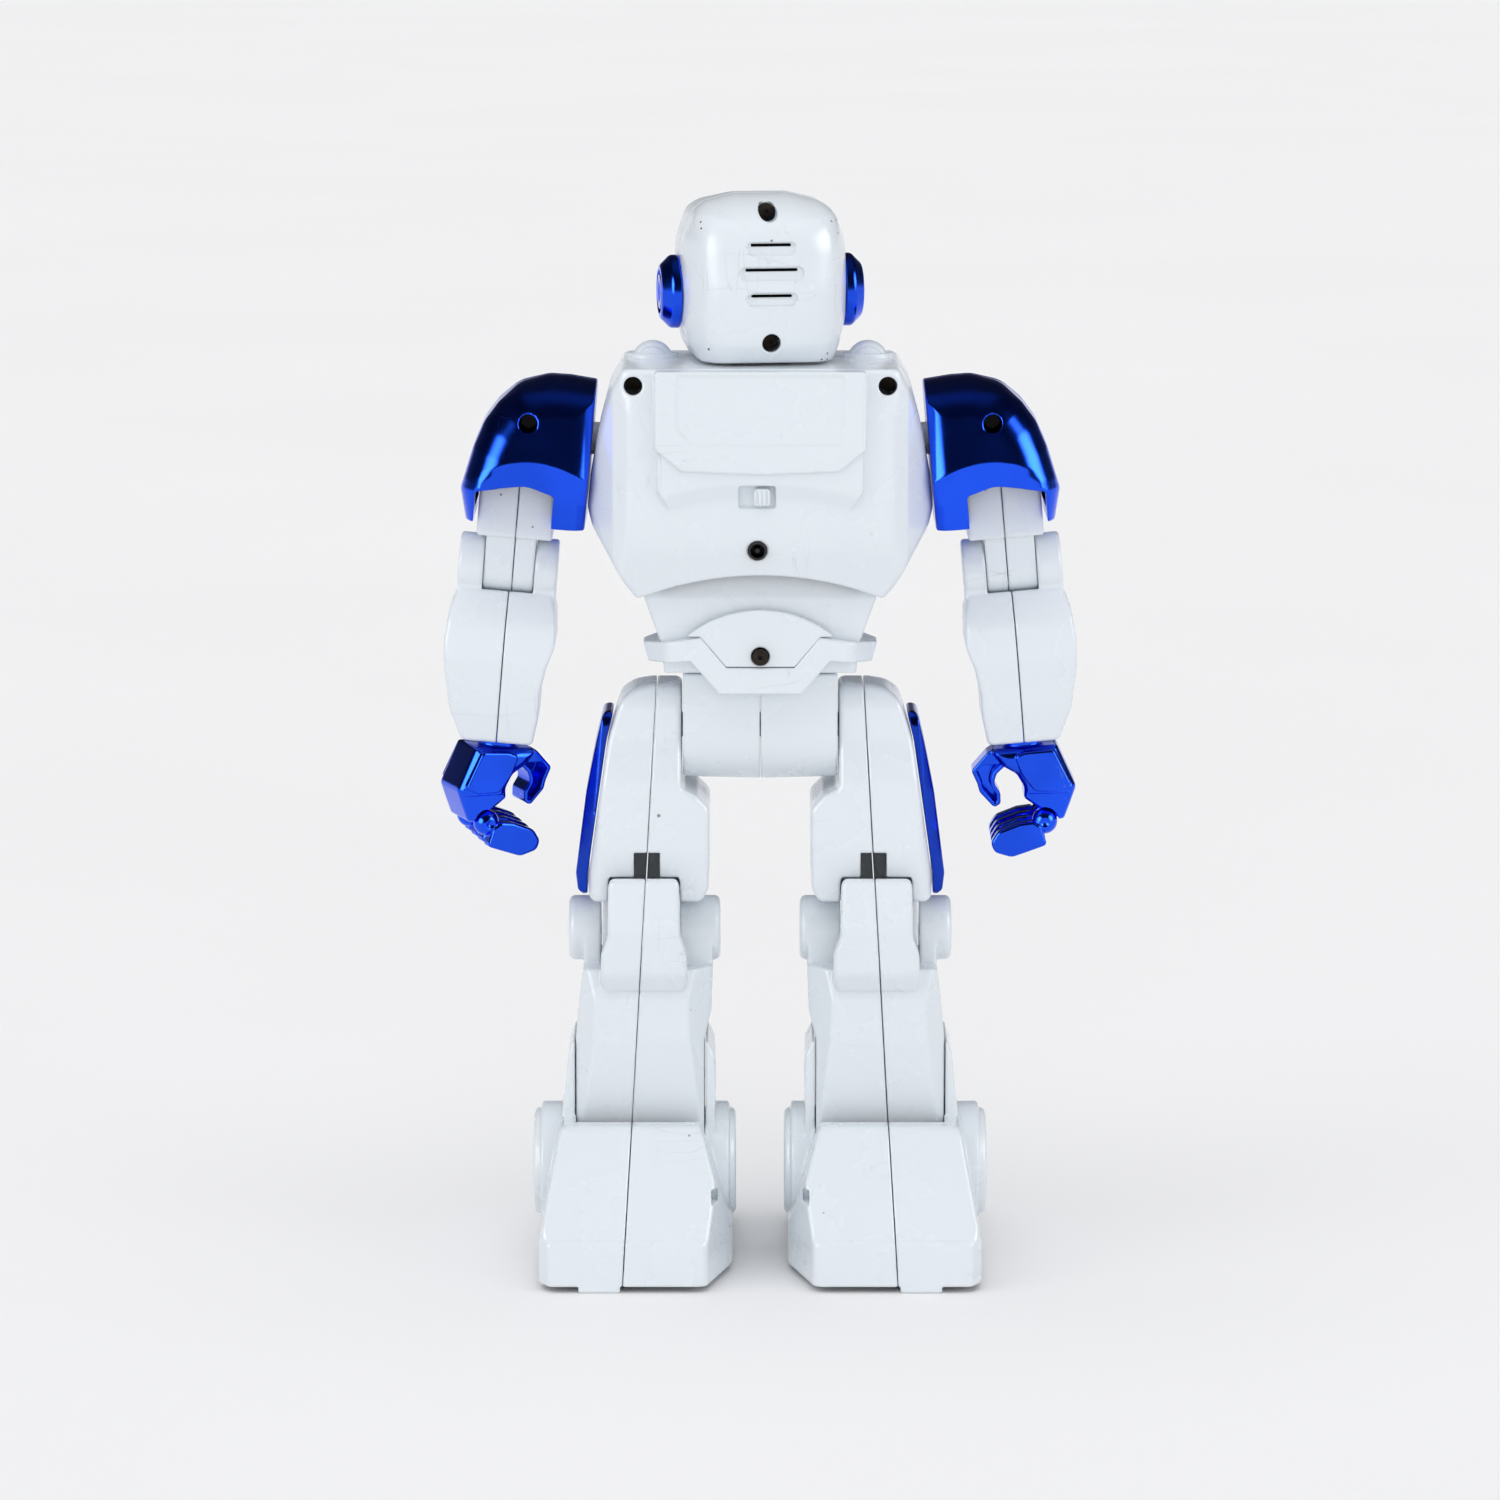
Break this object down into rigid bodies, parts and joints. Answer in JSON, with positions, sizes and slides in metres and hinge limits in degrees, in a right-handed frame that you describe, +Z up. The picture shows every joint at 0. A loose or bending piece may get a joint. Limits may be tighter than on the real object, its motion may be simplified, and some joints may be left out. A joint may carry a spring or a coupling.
{
  "type": "walking humanoid toy robot",
  "caption": "Upright toy robot with jointed arms, hips, knees and ankles, big flat feet with drive wheels, turning head and a slide power switch.",
  "frame": {"origin": "on the floor, midway between the feet, under the centre of the bounding box", "axes": "+Z up, the robot faces -Y and its left side is +X"},
  "size_m": [0.1571, 0.0886, 0.265],
  "materials": {
    "white_shell": "glossy injection-moulded ABS with light scuffs",
    "blue_metallised": "vacuum-metallised and blue-lacquered",
    "blue_panel": "tinted translucent panel with a mirrored back",
    "black_visor": "smoked glossy plastic",
    "eye_light": "frosted light lens",
    "black_plastic": "matte moulded",
    "white_knob": "satin moulded",
    "circuit_board": "solder-masked board",
    "battery_wrap": "shrink-wrapped cells",
    "motor_can": "plated can",
    "axle_steel": "ground rod",
    "screw_steel": "blackened self-tapping screw",
    "grey_sole": "moulded",
    "wheel_rubber": "ribbed tyre"
  },
  "bodies": {
    "torso": {"torso_front_shell": "white_shell", "torso_back_shell": "white_shell", "chest_lens": "black_visor", "waist_shell": "white_shell", "waist_belt": "white_shell", "waist_rear_cover": "white_shell", "pelvis_left_half": "white_shell", "pelvis_right_half": "white_shell", "power_switch_body": "black_plastic", "charging_jack": "black_plastic", "control_board": "circuit_board", "battery_pack": "battery_wrap", "hip_motor": "motor_can", "hip_axle": "axle_steel", "torso_screws": "screw_steel"},
    "head": {"head_front_shell": "white_shell", "head_back_shell": "white_shell", "face_visor": "black_visor", "eye_lights": "eye_light", "ear_discs": "blue_metallised", "head_speaker": "black_plastic", "neck_post": "white_shell", "head_screws": "screw_steel"},
    "switch_knob": {"power_switch_knob": "white_knob"},
    "arm_left": {"shoulder_pad_front_left": "blue_metallised", "shoulder_pad_back_left": "blue_metallised", "upper_arm_inner_left": "white_shell", "upper_arm_outer_left": "white_shell"},
    "forearm_left": {"forearm_inner_left": "white_shell", "forearm_outer_left": "white_shell"},
    "hand_left": {"hand_shell_left": "blue_metallised"},
    "fingers_left": {"fingers_left": "blue_metallised"},
    "thigh_left": {"thigh_inner_left": "white_shell", "thigh_outer_left": "white_shell", "thigh_side_panel_left": "blue_panel"},
    "shank_left": {"shank_inner_left": "white_shell", "shank_outer_left": "white_shell"},
    "foot_left": {"foot_inner_left": "white_shell", "foot_outer_left": "white_shell", "foot_sole_left": "grey_sole", "foot_drive_left": "black_plastic"},
    "wheels_left": {"foot_wheels_left": "wheel_rubber"},
    "arm_right": {"shoulder_pad_front_right": "blue_metallised", "shoulder_pad_back_right": "blue_metallised", "upper_arm_inner_right": "white_shell", "upper_arm_outer_right": "white_shell"},
    "forearm_right": {"forearm_inner_right": "white_shell", "forearm_outer_right": "white_shell"},
    "hand_right": {"hand_shell_right": "blue_metallised"},
    "fingers_right": {"fingers_right": "blue_metallised"},
    "thigh_right": {"thigh_inner_right": "white_shell", "thigh_outer_right": "white_shell", "thigh_side_panel_right": "blue_panel"},
    "shank_right": {"shank_inner_right": "white_shell", "shank_outer_right": "white_shell"},
    "foot_right": {"foot_inner_right": "white_shell", "foot_outer_right": "white_shell", "foot_sole_right": "grey_sole", "foot_drive_right": "black_plastic"},
    "wheels_right": {"foot_wheels_right": "wheel_rubber"}
  },
  "joints": [
    {"name": "head_turn", "type": "hinge", "parent": "torso", "child": "head", "pos_m": [0, 0.00375, 0.222], "axis": [0, 0, 1], "range_deg": [-30, 20]},
    {"name": "power_switch", "type": "slide", "parent": "torso", "child": "switch_knob", "axis": [1, 0, 0], "range_m": [0, 0.0024]},
    {"name": "shoulder_left", "type": "hinge", "parent": "torso", "child": "arm_left", "pos_m": [0.041, 0.00375, 0.205], "axis": [-0.9962, 0, -0.0872], "range_deg": [-60, 150]},
    {"name": "elbow_left", "type": "hinge", "parent": "arm_left", "child": "forearm_left", "pos_m": [0.06103, 0.00375, 0.17342], "axis": [-0.9962, 0, -0.0872], "range_deg": [0, 70]},
    {"name": "wrist_left", "type": "hinge", "parent": "forearm_left", "child": "hand_left", "pos_m": [0.06465, 0.00375, 0.12978], "axis": [-0.0872, 0, 0.9962], "range_deg": [-90, 90]},
    {"name": "fingers_left", "type": "hinge", "parent": "hand_left", "child": "fingers_left", "pos_m": [0.06968, 0.00531, 0.11074], "axis": [0.421, -0.9063, 0.0368], "range_deg": [0, 25]},
    {"name": "hip_left", "type": "hinge", "parent": "torso", "child": "thigh_left", "pos_m": [0.0225, 0.00375, 0.134], "axis": [-1, 0, 0], "range_deg": [-12, 12]},
    {"name": "knee_left", "type": "hinge", "parent": "thigh_left", "child": "shank_left", "pos_m": [0.029, 0.00375, 0.0829], "axis": [1, 0, 0], "range_deg": [0, 8]},
    {"name": "ankle_left", "type": "hinge", "parent": "shank_left", "child": "foot_left", "pos_m": [0.03, 0.00375, 0.0236], "axis": [-1, 0, 0], "range_deg": [-12, 12]},
    {"name": "wheels_left", "type": "hinge", "parent": "foot_left", "child": "wheels_left", "pos_m": [0.031, -0.02025, 0.008], "axis": [1, 0, 0], "continuous": true},
    {"name": "shoulder_right", "type": "hinge", "parent": "torso", "child": "arm_right", "pos_m": [-0.041, 0.00375, 0.205], "axis": [-0.9962, 0, 0.0872], "range_deg": [-60, 150]},
    {"name": "elbow_right", "type": "hinge", "parent": "arm_right", "child": "forearm_right", "pos_m": [-0.06103, 0.00375, 0.17342], "axis": [-0.9962, 0, 0.0872], "range_deg": [0, 70]},
    {"name": "wrist_right", "type": "hinge", "parent": "forearm_right", "child": "hand_right", "pos_m": [-0.06465, 0.00375, 0.12978], "axis": [0.0872, 0, 0.9962], "range_deg": [-90, 90]},
    {"name": "fingers_right", "type": "hinge", "parent": "hand_right", "child": "fingers_right", "pos_m": [-0.07002, 0.00375, 0.11077], "axis": [0, 1, 0], "range_deg": [0, 25]},
    {"name": "hip_right", "type": "hinge", "parent": "torso", "child": "thigh_right", "pos_m": [-0.0225, 0.00375, 0.134], "axis": [-1, 0, 0], "range_deg": [-12, 12]},
    {"name": "knee_right", "type": "hinge", "parent": "thigh_right", "child": "shank_right", "pos_m": [-0.029, 0.00375, 0.0829], "axis": [1, 0, 0], "range_deg": [0, 8]},
    {"name": "ankle_right", "type": "hinge", "parent": "shank_right", "child": "foot_right", "pos_m": [-0.03, 0.00375, 0.0236], "axis": [-1, 0, 0], "range_deg": [-12, 12]},
    {"name": "wheels_right", "type": "hinge", "parent": "foot_right", "child": "wheels_right", "pos_m": [-0.031, -0.02025, 0.008], "axis": [1, 0, 0], "continuous": true}
  ],
  "couplings": [
    {"joint": "hip_right", "follows": "hip_left", "ratio": -1},
    {"joint": "ankle_left", "follows": "hip_left", "ratio": -1},
    {"joint": "ankle_right", "follows": "hip_left", "ratio": 1}
  ]
}
